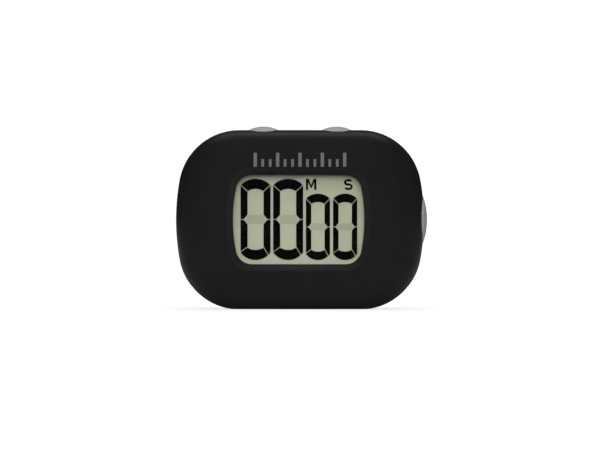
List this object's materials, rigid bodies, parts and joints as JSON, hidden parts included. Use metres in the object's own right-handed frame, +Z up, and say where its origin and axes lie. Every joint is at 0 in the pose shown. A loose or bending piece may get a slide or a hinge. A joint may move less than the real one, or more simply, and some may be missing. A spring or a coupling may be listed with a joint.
{
  "type": "kitchen timer",
  "caption": "Rounded countdown kitchen timer with a recessed digit display, push buttons in the top edge and side, battery bay and magnetic back.",
  "frame": {"origin": "middle of the flat base, on the plane where the front and rear shells meet", "axes": "+X to the right seen from the front, towards the side button; +Y to the back, where the magnets are; +Z up"},
  "size_m": [0.0759, 0.0246, 0.0551],
  "materials": {
    "black_case": "fine satin moulded texture",
    "board_laminate": "green laminate with solder mask",
    "cell_jacket": "printed steel sleeve",
    "ceramic_chip": "fired ceramic",
    "clear_pane": "clear moulded pane",
    "component_body": "moulded component",
    "display_film": "polariser film",
    "display_glass": "thin float glass",
    "display_idle": "unlit display segment",
    "display_ink": "dark display segment",
    "display_reflector": "grey-green diffusing film",
    "display_seal": "cured sealant",
    "epoxy_blob": "black epoxy",
    "ferrite": "ferrite",
    "grey_button": "satin moulded grey",
    "lead_black": "insulated lead",
    "lead_red": "insulated lead",
    "magnet": "nickel plated magnet",
    "metal_can": "bright can",
    "nickel": "nickel plated steel",
    "sounder_brass": "rolled brass",
    "sounder_ceramic": "silvered ceramic",
    "switch_black": "moulded switch body",
    "switch_stem": "moulded plunger",
    "white_holder": "moulded white",
    "zebra_rubber": "layered conductive rubber",
    "zinc_screw": "zinc plated"
  },
  "bodies": {
    "case": {"front_shell": "black_case", "rear_shell": "black_case", "display_window": "clear_pane", "lcd_front_polariser": "display_film", "lcd_front_glass": "display_glass", "lcd_edge_seal": "display_seal", "lcd_lit_segments": "display_ink", "lcd_idle_segments": "display_idle", "lcd_rear_glass": "display_glass", "lcd_reflector": "display_reflector", "lcd_holder": "white_holder", "zebra_strip_upper": "zebra_rubber", "zebra_strip_lower": "zebra_rubber", "circuit_board": "board_laminate", "housing_screws": "zinc_screw", "chip_blob": "epoxy_blob", "crystal": "metal_can", "reservoir_capacitor": "metal_can", "transistor": "component_body", "inductor": "ferrite", "chip_resistors": "component_body", "chip_capacitors": "ceramic_chip", "minute_switch_body": "switch_black", "second_switch_body": "switch_black", "start_stop_switch_body": "switch_black", "battery_jacket": "cell_jacket", "battery_positive_cap": "nickel", "battery_negative_base": "nickel", "battery_spring": "nickel", "battery_positive_plate": "nickel", "battery_negative_plate": "nickel", "buzzer_lead_outer": "lead_red", "buzzer_lead_inner": "lead_black", "magnet_left": "magnet", "magnet_right": "magnet", "buzzer_disc": "sounder_brass", "buzzer_ceramic": "sounder_ceramic"},
    "minute_key": {"minute_button": "grey_button", "minute_switch_stem": "switch_stem"},
    "second_key": {"second_button": "grey_button", "second_switch_stem": "switch_stem"},
    "start_stop_key": {"start_stop_button": "grey_button", "start_stop_switch_stem": "switch_stem"},
    "door": {"battery_door": "black_case"}
  },
  "joints": [
    {"name": "minute_press", "type": "slide", "parent": "case", "child": "minute_key", "axis": [0, 0, -1], "range_m": [0, 0.0005], "stiffness_N_per_m": 1500, "springref_m": -0.0005},
    {"name": "second_press", "type": "slide", "parent": "case", "child": "second_key", "axis": [0, 0, -1], "range_m": [0, 0.0005], "stiffness_N_per_m": 1500, "springref_m": -0.0005},
    {"name": "start_stop_press", "type": "slide", "parent": "case", "child": "start_stop_key", "axis": [-1, 0, 0], "range_m": [0, 0.0005], "stiffness_N_per_m": 1500, "springref_m": -0.0005},
    {"name": "battery_door_swing", "type": "hinge", "parent": "case", "child": "door", "pos_m": [0, 0.011, 0.0096], "axis": [-1, 0, 0], "range_deg": [0, 75]}
  ]
}
